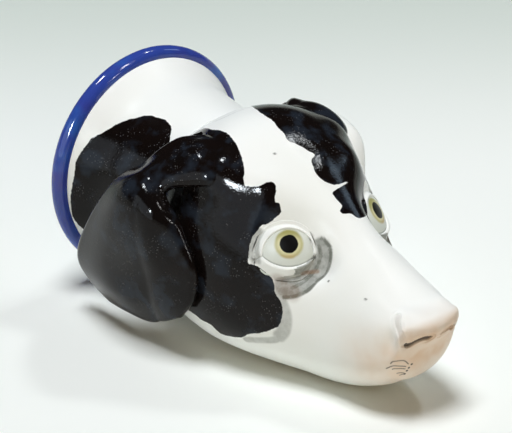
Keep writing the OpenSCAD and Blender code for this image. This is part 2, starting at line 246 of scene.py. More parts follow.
def path_distance(points, path, reach=12.0):
    """Distance of points from a path, measured up to a reach, and the share of the path passed there."""
    best = np.full(len(points), reach)
    passed = np.zeros(len(points))
    near = np.all((points > path.min(0) - reach) & (points < path.max(0) + reach), axis=1)
    close, close_passed, subset = best[near], passed[near], points[near]
    for i, (a, b) in enumerate(zip(path[:-1], path[1:])):
        along = b - a
        t = np.clip((subset - a) @ along / max(along @ along, 1e-12), 0, 1)
        distance = np.linalg.norm(subset - a - t[:, None] * along, axis=1)
        better = distance < close
        close[better] = distance[better]
        close_passed[better] = ((i + t) / (len(path) - 1))[better]
    best[near], passed[near] = close, close_passed
    return best, passed


def within(places, loop):
    """Whether places in a plane are inside a closed loop."""
    inside = np.zeros(len(places), bool)
    x, y = places.T
    for (ax, ay), (bx, by) in zip(loop, np.roll(loop, -1, axis=0)):
        if ay == by:
            continue
        crosses = (ay > y) != (by > y)
        inside ^= crosses & (x < (bx - ax) * (y - ay) / (by - ay) + ax)
    return inside


def patch_depth(points, places, outline, surface):
    """How deep points lie inside a painted patch in millimetres, less than 0 outside it."""
    loop = curve_through(outline, closed=True)
    distance, _ = path_distance(points, surface(loop))
    return np.where(within(places, loop[:-1]), distance, -distance)


def stroke(points, path, width, soft=0.45, taper=0.0):
    """Strength of a brush stroke along a path: 1 in its middle, 0 past its width."""
    distance, passed = path_distance(points, curve_through(path), reach=width + 1)
    half = width / 2 * (1 - taper * passed)
    return 1 - ease(half * (1 - soft), half * (1 + soft) + 1e-6, distance)


# Meshes

def grid_faces(rows, columns, first=0, closed=False):
    """Quads of a net of points whose rows have equal length."""
    across = columns if closed else columns - 1
    i, j = np.meshgrid(np.arange(rows - 1), np.arange(across), indexing="ij")
    a = first + i * columns + j
    b = first + i * columns + (j + 1) % columns
    return np.stack([a, b, b + columns, a + columns], -1).reshape(-1, 4)


def fan_faces(apex, ring):
    """Triangles between a point and a closed ring of points."""
    return np.stack([np.full(len(ring), apex), ring, np.roll(ring, -1)], -1)


# The paints where there is none: depth inside a patch in millimetres, or strength
DEEP = 9.0
PAINTS = {"black": -DEEP, "grey": 0.0, "brown": 0.0, "blush": 0.0, "ink_and_gap_shade": 0.0, "blue": -DEEP}


def make_piece(name, node, material, points, face_groups, paint=None, mirrored=False):
    """A glazed piece that stands for one solid, from points in millimetres."""
    points = np.array(points, float).reshape(-1, 3)
    if mirrored:
        points[:, 1] *= -1
    placed = np.clip((points + [LIP_X, 0, 0]) * MM, *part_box(node))
    faces = [tuple(f[::-1]) if mirrored else tuple(f) for group in face_groups for f in group.tolist()]
    mesh = bpy.data.meshes.new(name)
    mesh.from_pydata(placed.tolist(), [], faces)
    mesh.shade_smooth()
    for key, plain in {**PAINTS, **(paint or {})}.items():
        values = np.broadcast_to(np.asarray(plain, np.float32), len(points))
        mesh.attributes.new(key, "FLOAT", "POINT").data.foreach_set("value", np.ascontiguousarray(values))
    mesh.materials.append(material)
    piece = bpy.data.objects.new(name, mesh)
    bpy.context.scene.collection.objects.link(piece)
    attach(piece, "root")
    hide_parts(node)


# Materials

def linear(red, green, blue):
    """A colour as a screen shows it, 0 to 255, for a shader's socket."""
    def channel(value):
        share = value / 255
        return share / 12.92 if share <= 0.04045 else ((share + 0.055) / 1.055) ** 2.4
    return (channel(red), channel(green), channel(blue), 1.0)


class Tree:
    """Adds nodes to a material's tree: an input is a socket to link or a value to set."""

    def __init__(self, name):
        self.material = bpy.data.materials.new(name)
        self.material.use_nodes = True
        self.nodes = self.material.node_tree.nodes
        self.links = self.material.node_tree.links
        self.surface = self.nodes["Principled BSDF"]
        self.place = self.add("ShaderNodeTexCoord").outputs["Object"]

    def set(self, node, key, value):
        if isinstance(value, bpy.types.NodeSocket):
            self.links.new(value, node.inputs[key])
        else:
            node.inputs[key].default_value = value

    def add(self, kind, inputs=None, **settings):
        node = self.nodes.new(kind)
        for key, value in settings.items():
            setattr(node, key, value)
        for key, value in (inputs or {}).items():
            self.set(node, key, value)
        return node

    def paint(self, name):
        return self.add("ShaderNodeAttribute", attribute_name=name).outputs["Fac"]

    def math(self, operation, a, b):
        return self.add("ShaderNodeMath", {0: a, 1: b}, operation=operation).outputs[0]

    def noise(self, scale, detail=2.0, rough=0.5):
        inputs = {"Vector": self.place, "Scale": scale, "Detail": detail, "Roughness": rough}
        return self.add("ShaderNodeTexNoise", inputs).outputs["Fac"]

    def range(self, value, low, high, to_low=0.0, to_high=1.0):
        inputs = {"Value": value, "From Min": low, "From Max": high, "To Min": to_low, "To Max": to_high}
        return self.add("ShaderNodeMapRange", inputs, interpolation_type="SMOOTHSTEP").outputs["Result"]

    def mix(self, share, a, b):
        return self.add("ShaderNodeMix", {0: share, 6: a, 7: b}, data_type="RGBA").outputs[2]

    def bump(self, height, distance, normal=None):
        inputs = {"Height": height, "Distance": distance, "Strength": 1.0}
        if normal:
            inputs["Normal"] = normal
        return self.add("ShaderNodeBump", inputs).outputs["Normal"]

    def finish(self, **inputs):
        for key, value in inputs.items():
            self.set(self.surface, key.replace("_", " "), value)
        return self.material


WHITE = linear(251, 252, 249)
WHITE_SHADE = linear(245, 248, 243)
BLUSH = linear(216, 172, 126)
# Grey wash, and painted shade round the front of the eyes and in the neck's crease
GREY_WASH_AND_SHADE = linear(120, 123, 115)
# Brown wash, and painted shade in the creases under the lids and beside the nose
BROWN_WASH_AND_SHADE = linear(138, 108, 84)
# Ink for whiskers, nostril, tear marks and specks, and the painted shade in the gap under each lower lid
INK_AND_GAP_SHADE = linear(46, 44, 40)
BLACK = linear(13, 12, 12)
BLACK_WARM = linear(22, 14, 11)
# Blue-grey of the mottling in the black, partly a painted sheen
BLACK_MOTTLE_AND_SHEEN = linear(34, 39, 47)
SPECK = linear(150, 150, 152)
COBALT = linear(50, 72, 160)
COBALT_VIOLET = linear(62, 60, 146)
# Lighter blue for streaks of painted reflection on the cobalt
COBALT_PAINTED_SHEEN = linear(44, 104, 188)
IRIS = linear(222, 218, 174)
IRIS_OLIVE = linear(160, 157, 94)
IRIS_ORANGE = linear(212, 184, 136)
EYE_WHITE = linear(221, 226, 218)
GLAZE_IOR = 1.5
PORCELAIN_SHINE = 0.17
EYE_SHINE = 0.2
WHITE_ROUGH = 0.32
BLACK_ROUGH = 0.08
WASH_ROUGH = 0.3


def cobalt_colour(tree):
    """Cobalt glaze that pooled unevenly as it melted, with lighter blue streaks laid in random places as a
    painted reflection.
    """
    pooled = tree.mix(tree.range(tree.noise(60, 3), 0.35, 0.7), COBALT, COBALT_VIOLET)
    return tree.mix(tree.range(tree.noise(95, 2), 0.5, 0.85), pooled, COBALT_PAINTED_SHEEN)


def black_colour(tree):
    """Black enamel with fine dust and pin-holes in its glaze, and blue-grey mottling in random places that
    is partly a painted sheen.
    """
    dust = tree.add("ShaderNodeTexVoronoi", {"Vector": tree.place, "Scale": 1300.0, "Randomness": 1.0})
    sparse = tree.range(tree.noise(170, 2), 0.5, 0.62)
    speck = tree.math("MULTIPLY", tree.range(dust.outputs["Distance"], 0.26, 0.1), sparse)
    tint = tree.mix(tree.noise(120, 2), BLACK, BLACK_WARM)
    # Blue-grey mottling, partly the enamel's own and partly a painted sheen
    tint = tree.mix(tree.range(tree.noise(140, 3), 0.48, 0.66), tint, BLACK_MOTTLE_AND_SHEEN)
    return tree.mix(tree.math("MULTIPLY", speck, 0.3), tint, SPECK)


def washed_white(tree):
    """White glaze under blush, grey and brown washes and ink, with painted shade in the grey and brown at
    the eyes, the nose and the neck.
    """
    brush = tree.range(tree.noise(420, 3, 0.65), 0.3, 0.7, 0.72, 1.0)
    cloud = tree.range(tree.noise(160), 0.3, 0.7, 0.7, 1.0)
    colour = tree.mix(tree.noise(45, 3), WHITE, WHITE_SHADE)
    colour = tree.mix(tree.math("MULTIPLY", tree.paint("blush"), cloud), colour, BLUSH)
    colour = tree.mix(tree.math("MULTIPLY", tree.paint("grey"), brush), colour, GREY_WASH_AND_SHADE)
    colour = tree.mix(tree.math("MULTIPLY", tree.paint("brown"), brush), colour, BROWN_WASH_AND_SHADE)
    return tree.mix(tree.paint("ink_and_gap_shade"), colour, INK_AND_GAP_SHADE)


def painted_porcelain():
    """White glaze with washes, brushwork, black patches and the blue edge of the lip."""
    tree = Tree("painted porcelain")
    ragged = tree.math("MULTIPLY", tree.math("SUBTRACT", tree.noise(700, 3), 0.5), 0.7)
    black = tree.range(tree.math("ADD", tree.paint("black"), ragged), -0.12, 0.12)
    blue = tree.range(tree.math("ADD", tree.paint("blue"), ragged), -0.2, 0.2)
    colour = tree.mix(black, washed_white(tree), black_colour(tree))
    colour = tree.mix(blue, colour, cobalt_colour(tree))
    waves = tree.bump(tree.noise(60, 0), 0.0002)
    fine = tree.bump(tree.math("MULTIPLY", tree.noise(1800, 2), black), 0.00003, waves)
    cloudy = tree.range(tree.noise(240, 3), 0.3, 0.7, 0.93, 1.2)
    rough = tree.math("MULTIPLY", cloudy, tree.range(black, 0, 1, WHITE_ROUGH, BLACK_ROUGH))
    washed = tree.math("MULTIPLY", tree.paint("grey"), WASH_ROUGH)
    rough = tree.math("ADD", rough, tree.math("MULTIPLY", washed, tree.range(black, 1, 0)))
    return tree.finish(Base_Color=colour, Roughness=rough, Normal=fine, IOR=GLAZE_IOR,
                       Specular_IOR_Level=PORCELAIN_SHINE)


def blue_glaze():
    """Cobalt-blue glaze of the rolled rim."""
    tree = Tree("blue glaze")
    waves = tree.bump(tree.noise(130, 2), 0.0003)
    rough = tree.range(tree.noise(200, 3), 0.3, 0.7, 0.06, 0.14)
    return tree.finish(Base_Color=cobalt_colour(tree), Roughness=rough, Normal=waves, IOR=GLAZE_IOR)


def painted_eye():
    """Eyeball with a round black pupil in a soft yellow ring."""
    tree = Tree("painted eye")
    wander = tree.math("MULTIPLY", tree.math("SUBTRACT", tree.noise(420, 2), 0.5), 0.5)
    far = tree.math("ADD", tree.paint("from_pupil"), wander)
    high = tree.paint("eye_height")
    # Towards its top the ring turns olive: painted shade under the upper lid
    ring = tree.mix(tree.range(high, 0.5, 3.6), IRIS, IRIS_OLIVE)
    ring = tree.mix(tree.range(high, -2.4, -3.8), ring, IRIS_ORANGE)
    deep = tree.range(far, IRIS_R - 1.3, IRIS_R - 0.4)
    ring = tree.mix(tree.math("MULTIPLY", deep, 0.45), ring, IRIS_OLIVE)
    colour = tree.mix(tree.range(far, IRIS_R + 0.35, IRIS_R - 0.45), EYE_WHITE, ring)
    # Painted shade: the dark line in the gap between the ball and the lower lid
    colour = tree.mix(tree.paint("ink_and_gap_shade"), colour, INK_AND_GAP_SHADE)
    colour = tree.mix(tree.range(far, PUPIL_R + 0.14, PUPIL_R - 0.14), colour, BLACK)
    waves = tree.bump(tree.noise(160, 2), 0.0001)
    rough = tree.range(tree.noise(240, 3), 0.3, 0.7, 0.29, 0.36)
    return tree.finish(Base_Color=colour, Roughness=rough, Normal=waves, IOR=GLAZE_IOR,
                       Specular_IOR_Level=EYE_SHINE)


# The head: outer skin with its creases, and the cavity one wall inside it

HEAD_SIDES = 384
HEAD_RINGS = 400
RING_SAMPLES = 4000
NECK_LAP = 0.1
RING_WEIGHTS = [(NECK_X, 1.0), (68, 1.0), (74, 1.6), (98, 1.6), (104, 1.0), (114, 1.0), (118, 2.5),
                (CUP_L, 2.5)]
CAVITY_RINGS = 40
CAVITY_SQUARE = 6
HEAD_UNEVEN = 0.06
NOSTRIL_CUT = 0.9
GROOVE_CUT = 0.35
GROOVE_R = 0.8

# Painted places: distance along the cup, and angle about the head from the hound's left over its top
RIGHT_PATCH = [
    (36, 135), (38, 113), (48, 112), (53.5, 111), (58.5, 112), (62.5, 114), (67, 118), (69, 122), (70, 124),
    (71, 123), (73.3, 120), (74, 118), (75, 115), (76, 114), (77, 115), (78, 119), (79, 118), (79.7, 120),
    (79, 124), (78, 129), (77, 132), (76.5, 136), (76, 140), (76, 146), (76.5, 152), (77, 155), (78, 154),
    (80, 153), (82.5, 154), (84, 156), (85, 162), (86.5, 165), (87.5, 170), (87.3, 179), (86, 187),
    (81.5, 197), (77.5, 202), (75, 207), (71, 210), (67.5, 211), (65, 207), (61.5, 207), (58, 206),
    (52, 210), (45, 212), (36, 212)]
LEFT_PATCH = [
    (49, 88), (54.7, 92), (58.5, 93), (61, 93), (64, 94), (66.5, 94), (69, 95), (70.5, 93), (73, 90),
    (75, 88), (76, 91), (78, 93), (80.5, 94), (82.3, 92), (83.4, 89), (83.6, 85), (83, 78), (84, 83),
    (84.7, 89), (85, 92), (86.3, 92), (88.4, 91), (88.9, 92), (89.2, 94), (90.2, 93), (90.8, 89),
    (91.8, 87), (92.2, 84), (91.3, 78), (89.8, 74), (88, 66), (84, 62), (80, 58), (77, 52), (76, 44),
    (74, 36), (70, 28), (64, 22), (56, 20), (48, 24), (41, 34), (38, 48), (38, 62), (41, 74), (44, 82)]
# Grey wash round the front of the eye, partly painted shade of the hollow there
EYE_WASH_AND_SHADE = [
    (87.5, 115), (88.3, 112), (89.2, 110), (90.4, 110), (91.5, 110), (93, 113), (93.2, 119),
    (93.3, 131), (92.6, 144), (89.9, 156), (86.3, 162), (85, 160), (84.1, 157), (84.1, 153),
    (85.4, 149), (87.1, 144), (88.2, 137), (88.8, 129), (89.1, 122), (89, 118), (88.1, 116)]
WASH_EDGE = [(89.2, 111), (90.8, 110), (92.2, 111), (93, 114), (93.2, 119), (93.2, 130), (92.7, 143),
             (90.2, 154), (87.3, 161)]
WASH_STREAK = [(89.3, 115), (90.2, 118), (90.4, 124), (90.3, 133), (90.1, 143), (88.6, 151)]
CHEEK_WASH = [(86, 163), (87.6, 169), (88.4, 176), (88, 186), (86.4, 194)]
JAW_WASH = [(87, 192), (84.9, 199), (80.8, 204), (76, 208)]
TEAR_STROKE = [(88.8, 123), (88.5, 127), (88.3, 131), (88, 135)]
BROWN_LINES = [[(88.3, 138), (89.6, 133), (91, 128)], [(82.4, 150), (84, 149), (85.6, 147)]]
# Brown in the crease under each lower lid: painted shade
LID_CREASE_SHADE = [(84.7, 154), (87, 156), (89.2, 154)]
CORNER_STROKES = [[(76.8, 136), (77, 141), (78.2, 146), (79.3, 149)], [(76, 141), (76.5, 148), (78, 151)]]
WHISKERS = [
    [(120.1, 189), (120.7, 189), (121.8, 200), (122.2, 212), (122, 224)],
    [(118.9, 194), (120, 194), (120.8, 198), (121.5, 210), (121.7, 221)],
    [(120.1, 200), (120.5, 202), (121.2, 212), (121.4, 222)],
    [(120.2, 213), (120.5, 216), (120.7, 221), (120.7, 227)],
    [(120.1, 221), (120.4, 224), (120.6, 229)]]
WHISKER_ROOTS = [(122, 232), (121.6, 229), (121.2, 228), (120.6, 228)]
NOSTRIL = [(123.9, 201), (124.3, 204), (125, 204), (125.8, 204), (126.1, 212), (126, 230)]
WING_GROOVE = [(119.9, 126), (120.6, 135), (122.1, 153), (123.5, 176), (123.6, 194)]
# A faint grey line along the crease between neck and skull: painted shade of that crease
NECK_LINE = [(48.6, 84), (47.8, 90), (45.8, 103), (38.5, 110)]
SPECKS = [(109.1, 123), (96.5, 128), (70, 104)]
INK_W = 0.34


def mirror_places(places):
    """Places on the hound's left that match places on its right."""
    return [(x, 180 - angle) for x, angle in places]


def both_sides(strokes):
    """Strokes on the hound's right, and the same on its left."""
    return strokes + [(mirror_places(path), *rest) for path, *rest in strokes]


# Brush strokes, some of them painted shade in creases: path, strength and width, and where they differ from
# the plain ones, softness and taper
GREY_STROKES = [
    *both_sides([(WASH_EDGE, 1.15, 1.2), (WASH_STREAK, 1.1, 1.4), (TEAR_STROKE, 1.0, 1.5),
                 *((path, 0.7, 2.2) for path in CORNER_STROKES)]),
    (CHEEK_WASH, 0.55, 3.8, 0.25), (JAW_WASH, 0.55, 2.2, 0.3), (NECK_LINE, 0.3, 0.5)]
# The brown under each lower lid and along the nose's wing groove is painted shade of those creases; the
# other brown is wash
BROWN_STROKES = [
    *both_sides([(LID_CREASE_SHADE, 0.4, 4.5), *((path, 0.75, 1.1) for path in BROWN_LINES)]),
    (mirror_places(NOSTRIL), 0.45, 1.2), (WING_GROOVE, 0.22, 1.6)]
INK_STROKES = [
    *both_sides([(TEAR_STROKE, 0.55, 1.1, 0.45, 0.3)]),
    *((path, 0.8, INK_W) for path in WHISKERS),
    *(([(x, angle), (x, angle + 1)], 1.0, 0.62) for x, angle in WHISKER_ROOTS),
    *(([(x, angle), (x + 0.1, angle)], 0.8, 0.6) for x, angle in SPECKS)]


def head_rings():
    """Places of the rings, evenly spaced over the surface and closer together at the eyes and the nose."""
    turn = np.linspace(0, math.pi / 2, RING_SAMPLES)
    first = NECK_X - NECK_LAP
    x = first + (CUP_L - first) * np.sin(turn)
    angle = np.radians(np.arange(0, 360, 15))
    shape = (len(x), len(angle))
    radius, level = skin_radius(np.broadcast_to(x[:, None], shape), np.broadcast_to(angle, shape))
    steps = np.linalg.norm(np.diff(around(x[:, None], level, radius, angle[None]), axis=0), axis=-1).max(1)
    weights = np.interp(x[1:], *np.transpose(RING_WEIGHTS))
    passed = np.concatenate([[0], np.cumsum(steps * weights)])
    return np.interp(np.linspace(0, passed[-1], HEAD_RINGS + 1)[:-1], passed, x)


def grid_normals(grid):
    """Outward normals of a net of rings round the head."""
    along = np.gradient(grid, axis=0)
    across = np.roll(grid, -1, axis=1) - np.roll(grid, 1, axis=1)
    return unit(np.cross(across, along))


def head_skin():
    """The outer surface, with its nostrils and creases cut along its normals."""
    angle = np.arange(HEAD_SIDES) * 2 * math.pi / HEAD_SIDES
    x = head_rings()[:, None]
    shape = (len(x), HEAD_SIDES)
    radius, level = skin_radius(np.broadcast_to(x, shape), np.broadcast_to(angle, shape))
    grid = around(x, level, radius, angle[None])
    normals = grid_normals(grid)
    points = grid.reshape(-1, 3)
    cut = uneven(points, HEAD_UNEVEN)
    for flip in (list, mirror_places):
        distance, passed = path_distance(points, curve_through(on_head(flip(NOSTRIL))), reach=4)
        cut -= NOSTRIL_CUT * np.exp(-(distance / (0.6 + 0.3 * passed)) ** 2)
        distance, _ = path_distance(points, curve_through(on_head(flip(WING_GROOVE))), reach=4)
        cut -= GROOVE_CUT * np.exp(-(distance / GROOVE_R) ** 2)
    skin = points + normals.reshape(-1, 3) * cut[:, None]
    skin[:, 2] = np.maximum(skin[:, 2], 0)
    return skin, points


def strongest(points, strokes):
    """Strength of the strongest of some strokes at each point."""
    best = np.zeros(len(points))
    for path, strength, *shape in strokes:
        best = np.maximum(best, strength * stroke(points, on_head(path), *shape))
    return best


def nostril_ink(points):
    """Ink in the right nostril, a slit that widens along its curl."""
    distance, passed = path_distance(points, curve_through(on_head(NOSTRIL)), reach=4)
    return 0.85 * (1 - ease(0.5 + 0.25 * passed, 0.75 + 0.35 * passed, distance))


def blush_strength(points):
    """Tan wash on the front of the nose and along the lips."""
    x, _, z = points.T
    front = ease(121, 126.5, x) * ease(NOSE_H + 0.2, NOSE_H - 2.6, z)
    lip = ease(98, 122, x) * ease(32, 18, z)
    return np.clip(0.12 * ease(119, 124, x) + 0.45 * front + 0.58 * lip, 0, 1)


def head_paint(points):
    """Strengths of the paints at points on or close to the head."""
    level = smooth(SECTIONS, points[:, 0])[:, 3]
    degrees = np.degrees(np.arctan2(points[:, 2] - level, points[:, 1])) % 360
    places = np.stack([points[:, 0], degrees], 1)
    black = np.maximum(patch_depth(points, places, RIGHT_PATCH, on_head),
                       patch_depth(points, places, LEFT_PATCH, on_head))
    # Grey round the front of each eye: wash, and painted shade of the hollow
    eye_wash_and_shade = np.maximum(patch_depth(points, places, EYE_WASH_AND_SHADE, on_head),
                      patch_depth(points, places, mirror_places(EYE_WASH_AND_SHADE), on_head))
    grey = np.maximum(0.85 * ease(-0.5, 0.7, eye_wash_and_shade), strongest(points, GREY_STROKES))
    ink_and_gap_shade = np.maximum(nostril_ink(points), strongest(points, INK_STROKES))
    return {"black": black, "grey": grey, "brown": strongest(points, BROWN_STROKES),
            "blush": blush_strength(points), "ink_and_gap_shade": ink_and_gap_shade}


def head(material):
    """The head, with its cavity closed at the nose and joined to the skin round the neck."""
    points, uncut = head_skin()
    rings = len(points) // HEAD_SIDES
    paint = head_paint(uncut)
    angle = np.arange(HEAD_SIDES) * 2 * math.pi / HEAD_SIDES
    end_x = CUP_L - NOSE_SOLID
    share = np.sin(np.linspace(0, math.pi / 2, CAVITY_RINGS + 1)[:-1])
    x = np.broadcast_to((NECK_X + (end_x - NECK_X) * share)[:, None], (CAVITY_RINGS, HEAD_SIDES))
    radius, level = skin_radius(x, np.broadcast_to(angle, x.shape))
    rounding = np.sqrt(1 - share ** CAVITY_SQUARE)[:, None]
    lining = around(x, level, (radius - WALL) * rounding, angle[None]).reshape(-1, 3)
    ends = np.array([[CUP_L, 0, SECTIONS[-1][4]], [end_x, 0, smooth(SECTIONS, end_x)[3]]])
    count = len(points)
    total = count + len(lining)
    mouth = np.arange(HEAD_SIDES)
    faces = [
        grid_faces(rings, HEAD_SIDES, 0, True)[:, ::-1],
        fan_faces(total, np.arange(count - HEAD_SIDES, count))[:, ::-1],
        grid_faces(CAVITY_RINGS, HEAD_SIDES, count, True),
        fan_faces(total + 1, np.arange(total - HEAD_SIDES, total)),
        np.stack([mouth, np.roll(mouth, -1), count + np.roll(mouth, -1), count + mouth], -1)]
    for key, values in paint.items():
        inside = np.full(len(lining) + 2, PAINTS[key])
        paint[key] = np.concatenate([values, inside])
    paint["blush"][total] = paint["blush"][count - 1]
    make_piece("glazed_head", "head_shell", material,
               np.concatenate([points, lining, ends]), faces, paint)


# The collar and the rolled rim, turned about the rim's axis

TURN_SIDES = 320
COLLAR_STEPS = 90
EDGE_STEPS = 7
BAND_STEPS = 8
STRAIGHT_STEPS = 10
BEAD_STEPS = 33
LIP_ROUND = 0.9
BLUE_EDGE_W = 1.3
BEAD_SEAT = 0.3
RIM_UNEVEN = 0.05
NECK_PATCH = [
    (6, 200), (6, 188), (7, 173), (7, 163), (8, 155), (9, 148), (11, 142), (13, 135), (15, 129), (17.5, 124),
    (20, 119), (23, 117), (26.5, 116), (29.5, 119), (31, 124), (34, 135), (36, 150), (36.5, 175), (36, 200),
    (30, 215), (18, 218), (10, 214)]


def turned(profile):
    """A closed profile of distance and radius turned about the rim's axis: points, faces and places."""
    profile = np.asarray(profile, float)
    angle = np.arange(TURN_SIDES) * 2 * math.pi / TURN_SIDES
    points = around(profile[:, :1], AXIS_Z, profile[:, 1:], angle[None]).reshape(-1, 3)
    faces = grid_faces(len(profile) + 1, TURN_SIDES, 0, True) % len(points)
    degrees = np.broadcast_to(np.degrees(angle)[None], (len(profile), TURN_SIDES))
    places = np.stack([np.broadcast_to(profile[:, :1], degrees.shape), degrees], -1).reshape(-1, 2)
    return points, faces, places


def collar(material):
    """The flared collar, with a rounded lip inside the bead."""
    lip_out = LIP_R - SLIP
    lip_in = lip_out - WALL
    turn = np.linspace(0, math.pi / 2, EDGE_STEPS)
    x_out = np.linspace(BEAD_W, NECK_X, COLLAR_STEPS)
    outer = np.stack([x_out, collar_radius(x_out)], 1)
    inner = np.stack([x_out, collar_radius(x_out) - WALL], 1)[::-1]
    edge = np.stack([LIP_ROUND * (1 - np.sin(turn)), lip_in + LIP_ROUND * (1 - np.cos(turn))], 1)
    band = np.stack([np.zeros(BAND_STEPS), np.linspace(lip_in + LIP_ROUND, lip_out, BAND_STEPS)], 1)
    x_in = np.linspace(BEAD_W, LIP_ROUND, STRAIGHT_STEPS)
    straight = np.stack([x_in, np.full(STRAIGHT_STEPS, lip_in)], 1)
    profile = np.concatenate([outer, inner[:-1], straight[:-1], edge[:-1], band])
    points, faces, places = turned(profile)
    black = patch_depth(points, places, NECK_PATCH, on_collar)
    radius = np.hypot(points[:, 1], points[:, 2] - AXIS_Z)
    inside = radius < collar_radius(np.maximum(points[:, 0], BEAD_W)) - 0.2
    black[inside] = PAINTS["black"]
    blue = np.where(points[:, 0] < 1, radius - (lip_out - BLUE_EDGE_W), PAINTS["blue"])
    make_piece("glazed_collar", "neck_collar", material, points, [faces[:, ::-1]],
               {"black": black, "blue": blue})


def rim(material):
    """The half-round bead, with a slightly uneven thickness as a thrown rim has."""
    turn = np.linspace(0, math.pi, BEAD_STEPS)
    bead = np.stack([BEAD_R - BEAD_R * np.cos(turn), LIP_R + BEAD_R * np.sin(turn)], 1)
    seat = np.array([[BEAD_W, LIP_R - BEAD_SEAT], [0, LIP_R - BEAD_SEAT]])
    points, faces, _ = turned(np.concatenate([bead, seat]))
    radial = unit((points - [0, 0, AXIS_Z]) * [0, 1, 1])
    on_bead = np.arange(len(points)) < len(bead) * TURN_SIDES
    points = points + radial * (uneven(points, RIM_UNEVEN) * on_bead)[:, None]
    points[:, 2] = np.maximum(points[:, 2], 0)
    make_piece("glazed_rim", "rim_bead", material, points, [faces])


# Ears: nets of distance along the cup, angle on the head and lift off it, from root to tip and front to back

EAR_X = NECK_X + 12
EAR_T = 3.6
EAR_EDGE_W = 2.4
EAR_DROP = 36
EAR_LIFT = 6
EAR_SINK = 2.4
EAR_UNEVEN = 0.07
EAR_ROOT = 0.1
EAR_THIN = 0.02
EAR_BORDER = 3.2
LEFT_ROOT_BLACK = 9.0
ROOT_WAVE = 1.5
ROOT_WAVES = 9
EAR_ROWS = 110
EAR_COLUMNS = 64
EAR_NET = [
    [(18, 50, 0.5), (16.5, 57, 0.8), (9, 63, 1), (-2, 64.5, 1)],
    [(9.5, 41.5, 1.8), (7, 45, 3.2), (0, 47, 3.8), (-8.5, 48, 2)],
    [(2, 30.5, 4.5), (0.5, 32.5, EAR_LIFT + 0.3), (-4.5, 35, EAR_LIFT + 0.6), (-12.5, 35.5, 2.2)],
    [(9.6, 20.5, 1.8), (4, 21, EAR_LIFT + 3.4), (-6.5, 22.2, EAR_LIFT + 4.6), (-18, 22.6, EAR_LIFT + 0.2)],
    [(15.6, 5.5, 1.6), (1, -8.5, EAR_LIFT - 0.2),
     (-15.5, -10, EAR_LIFT + 1.6), (-33, -16.5, EAR_LIFT - 0.6)],
    [(14.8, 24.5 - EAR_DROP, 1.6), (-1, 10 - EAR_DROP, EAR_LIFT - 0.4),
     (-15, 10.5 - EAR_DROP, EAR_LIFT + 1.6), (-32, 5.5 - EAR_DROP, EAR_LIFT - 0.4)],
    [(9.8, 11.5 - EAR_DROP, 2.8), (-3, -1.5 - EAR_DROP, EAR_LIFT + 0.2),
     (-12.5, -2 - EAR_DROP, EAR_LIFT + 1.2), (-22, -2.5 - EAR_DROP, EAR_LIFT + 1.4)],
]


def ear_middle(us, vs):
    """The ear's middle surface at shares across and down its net."""
    rows = []
    for row in EAR_NET:
        across = [(j, *values) for j, values in enumerate(row)]
        rows.append(smooth(across, us * (len(row) - 1)).reshape(-1))
    down = [(i, *values) for i, values in enumerate(rows)]
    net = smooth(down, vs * (len(EAR_NET) - 1)).reshape(len(vs), len(us), 3)
    x = EAR_X + net[..., 0]
    angle = np.radians(net[..., 1])
    beside = np.maximum(x, EAR_X)
    section = smooth(SECTIONS, beside)
    return around(x, section[..., 3], plain_radius(section, beside, angle) + net[..., 2], angle)


def ear(name, node, material, mirrored, root_black):
    """One ear: two skins that meet in a round edge, with the root sunk into the head.

    It is black with a white lining, or white with a black root of the given length."""
    us = (1 - np.cos(np.linspace(0, math.pi, EAR_COLUMNS))) / 2
    vs = np.sin(np.linspace(0, math.pi / 2, EAR_ROWS))
    middle = ear_middle(us, vs)
    normals = unit(np.cross(np.gradient(middle, axis=0), np.gradient(middle, axis=1)))
    edge = np.minimum.reduce([np.linalg.norm(middle - middle[:, :1], axis=-1),
                              np.linalg.norm(middle - middle[:, -1:], axis=-1),
                              np.linalg.norm(middle - middle[-1:], axis=-1)])
    inset = 1 - np.minimum(1, edge / EAR_EDGE_W)
    half = EAR_T / 2 * np.sqrt(np.maximum(0, 1 - inset ** 2))
    half = np.maximum(half + uneven(middle, EAR_UNEVEN), EAR_THIN)
    sink = EAR_SINK * (1 - ease(0, EAR_ROOT, vs))[:, None, None]
    outer = middle + normals * (half[..., None] - sink)
    inner = middle - normals * (half[..., None] + sink * 0.3)
    count = EAR_ROWS * EAR_COLUMNS
    order = np.arange(count).reshape(EAR_ROWS, EAR_COLUMNS)
    border = np.concatenate([order[0], order[1:, -1], order[-1, -2::-1], order[-2:0, 0]])
    rim_faces = np.stack([border, border + count, np.roll(border, -1) + count, np.roll(border, -1)], -1)
    faces = [grid_faces(EAR_ROWS, EAR_COLUMNS)[:, ::-1], grid_faces(EAR_ROWS, EAR_COLUMNS, count),
             rim_faces[:, ::-1]]
    if root_black is None:
        outside = np.full((EAR_ROWS, EAR_COLUMNS), DEEP)
        lining = EAR_BORDER - edge
    else:
        down = np.linalg.norm(middle - middle[:1], axis=-1)
        outside = root_black + ROOT_WAVE * np.sin(us * ROOT_WAVES)[None] - down
        lining = np.full((EAR_ROWS, EAR_COLUMNS), PAINTS["black"])
    black = np.concatenate([outside.reshape(-1), lining.reshape(-1)])
    points = np.concatenate([outer.reshape(-1, 3), inner.reshape(-1, 3)])
    make_piece(name, node, material, points, faces, {"black": black}, mirrored)


# Eyes: a ball in its socket and a roll of clay for each lid

EYE_RINGS = 48
EYE_SIDES = 128
LID_STEPS = 16
LID_TURNS = 72
LID_PAST = 0.8
HALVINGS = 24
LID_THIN = 0.2
LID_SINK = 0.25
EYE_PAST = 0.08
CORNER_TURN = math.atan2(CORNER_DROP, EYE_OPEN_W / 2)
UPPER_LID_T = 0.7
LOWER_LID_T = 1.3
eye_axis = unit(EYE_AXIS)
eye_centre = PUPIL - eye_axis * EYE_R
eye_side = unit(np.cross(eye_axis, [0, 0, 1]))
eye_up = np.cross(eye_side, eye_axis)


